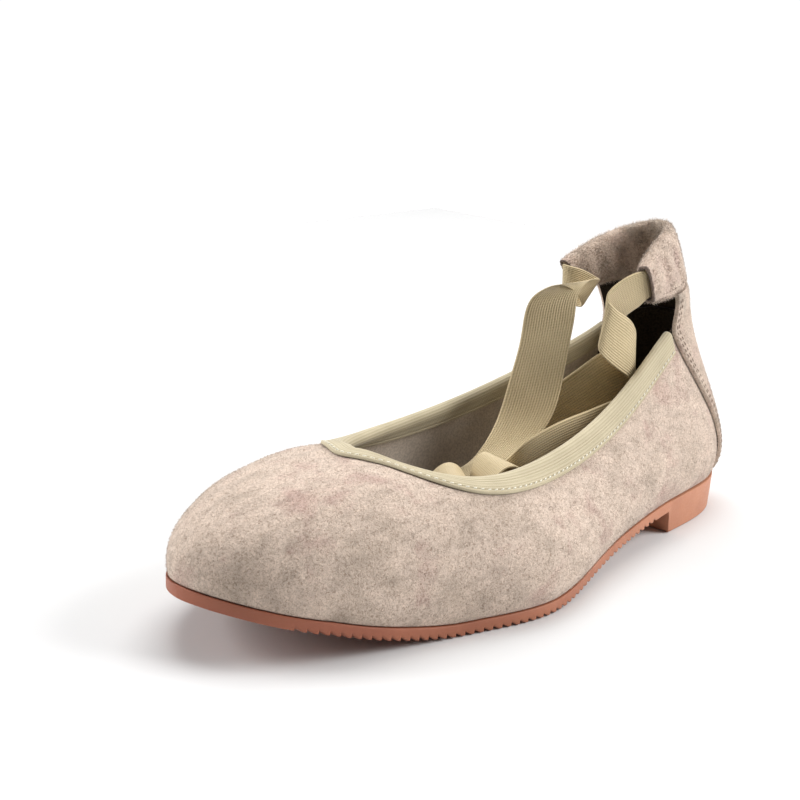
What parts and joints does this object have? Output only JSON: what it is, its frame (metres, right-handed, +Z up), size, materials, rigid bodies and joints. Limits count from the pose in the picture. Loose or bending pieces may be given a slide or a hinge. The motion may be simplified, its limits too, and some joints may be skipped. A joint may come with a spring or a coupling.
{
  "type": "ballet flat",
  "caption": "Left ballet flat with a suede upper, low heel, folded casing round the back and a ribbon tie drawn through it, its ends loose inside the shoe.",
  "frame": {"origin": "middle of the shoe's box in plan, on the floor, the box taken without the ribbon's free tails and heap", "axes": "+X from heel to toe, +Y to the wearer's left, +Z up"},
  "size_m": [0.2484, 0.0916, 0.1049],
  "materials": {
    "outsole_rubber": "matte moulded terracotta rubber",
    "insole_lining": "soft grey-brown lining",
    "upper_suede": "napped taupe suede",
    "binding_elastic": "ribbed khaki elastic",
    "ribbon_elastic": "ribbed khaki elastic ribbon"
  },
  "bodies": {
    "root": {"outsole": "outsole_rubber", "insole": "insole_lining", "upper": "upper_suede", "heel_panel": "upper_suede", "casing": "upper_suede", "binding": "binding_elastic", "ribbon_in_casing": "ribbon_elastic", "ribbon_tail_lateral": "ribbon_elastic", "ribbon_tail_medial": "ribbon_elastic", "ribbon_loop": "ribbon_elastic", "ribbon_bundle": "ribbon_elastic"}
  },
  "joints": []
}
